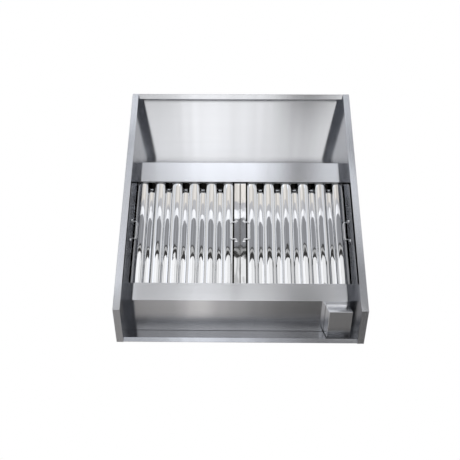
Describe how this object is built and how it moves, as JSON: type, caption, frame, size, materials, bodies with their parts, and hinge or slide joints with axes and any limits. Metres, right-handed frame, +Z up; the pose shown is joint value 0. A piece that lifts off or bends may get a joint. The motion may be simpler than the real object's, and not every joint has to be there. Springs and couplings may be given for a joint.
{
  "type": "canopy exhaust hood",
  "caption": "Wall canopy exhaust hood with a sloping underside, lift-out baffle filters, a grease trough and a slide-off grease cup.",
  "frame": {"origin": "middle of the four hanger rod holes, on the top faces of the hanger brackets", "axes": "+X across the hood to the right seen from the cook, +Y to the wall, +Z up"},
  "size_m": [1, 0.97, 0.66],
  "materials": {
    "end_panel_stainless": "No. 4 brushed stainless, grain along the sloping edge",
    "brushed_stainless": "No. 4 brushed stainless, grain across the width",
    "bright_stainless": "bright annealed stainless, nearly mirror bright",
    "handle_wire": "bright drawn stainless wire",
    "cup_stainless": "bright rolled stainless",
    "galvanised_steel": "galvanised sheet steel"
  },
  "bodies": {
    "casing": {"end_panel_left": "end_panel_stainless", "end_panel_right": "end_panel_stainless", "rear_panel": "brushed_stainless", "roof_panel": "brushed_stainless", "front_lip": "brushed_stainless", "filter_rail": "brushed_stainless", "grease_trough": "brushed_stainless", "filter_ledge": "brushed_stainless", "drain_tube": "brushed_stainless", "cup_bracket": "brushed_stainless", "duct_spigot": "galvanised_steel", "spigot_rivets": "galvanised_steel", "hanger_bracket_front_left": "galvanised_steel", "hanger_bracket_rear_left": "galvanised_steel", "hanger_bracket_front_right": "galvanised_steel", "hanger_bracket_rear_right": "galvanised_steel"},
    "filter_left": {"filter_frame_left": "bright_stainless", "front_baffles_left": "bright_stainless", "rear_baffles_left": "bright_stainless", "handle_clips_left": "bright_stainless"},
    "filter_right": {"filter_frame_right": "bright_stainless", "front_baffles_right": "bright_stainless", "rear_baffles_right": "bright_stainless", "handle_clips_right": "bright_stainless"},
    "grease_cup": {"grease_cup": "cup_stainless"},
    "handle_left_inner": {"filter_handle_left_inner": "handle_wire"},
    "handle_left_outer": {"filter_handle_left_outer": "handle_wire"},
    "handle_right_inner": {"filter_handle_right_inner": "handle_wire"},
    "handle_right_outer": {"filter_handle_right_outer": "handle_wire"}
  },
  "joints": [
    {"name": "left_filter_lift", "type": "slide", "parent": "casing", "child": "filter_left", "axis": [0, -0.8271, 0.5621], "range_m": [0, 0.03]},
    {"name": "right_filter_lift", "type": "slide", "parent": "casing", "child": "filter_right", "axis": [0, -0.8271, 0.5621], "range_m": [0, 0.03]},
    {"name": "left_inner_handle_hinge", "type": "hinge", "parent": "filter_left", "child": "handle_left_inner", "pos_m": [-0.0168, 0.08613, -0.36553], "axis": [0, -0.8271, 0.5621], "range_deg": [0, 120]},
    {"name": "left_outer_handle_hinge", "type": "hinge", "parent": "filter_left", "child": "handle_left_outer", "pos_m": [-0.4788, 0.08613, -0.36553], "axis": [0, 0.8271, -0.5621], "range_deg": [0, 120]},
    {"name": "right_inner_handle_hinge", "type": "hinge", "parent": "filter_right", "child": "handle_right_inner", "pos_m": [0.0168, 0.08613, -0.36553], "axis": [0, 0.8271, -0.5621], "range_deg": [0, 120]},
    {"name": "right_outer_handle_hinge", "type": "hinge", "parent": "filter_right", "child": "handle_right_outer", "pos_m": [0.4788, 0.08613, -0.36553], "axis": [0, -0.8271, 0.5621], "range_deg": [0, 120]},
    {"name": "grease_cup_slide", "type": "slide", "parent": "casing", "child": "grease_cup", "axis": [0, -1, 0], "range_m": [0, 0.13]}
  ]
}
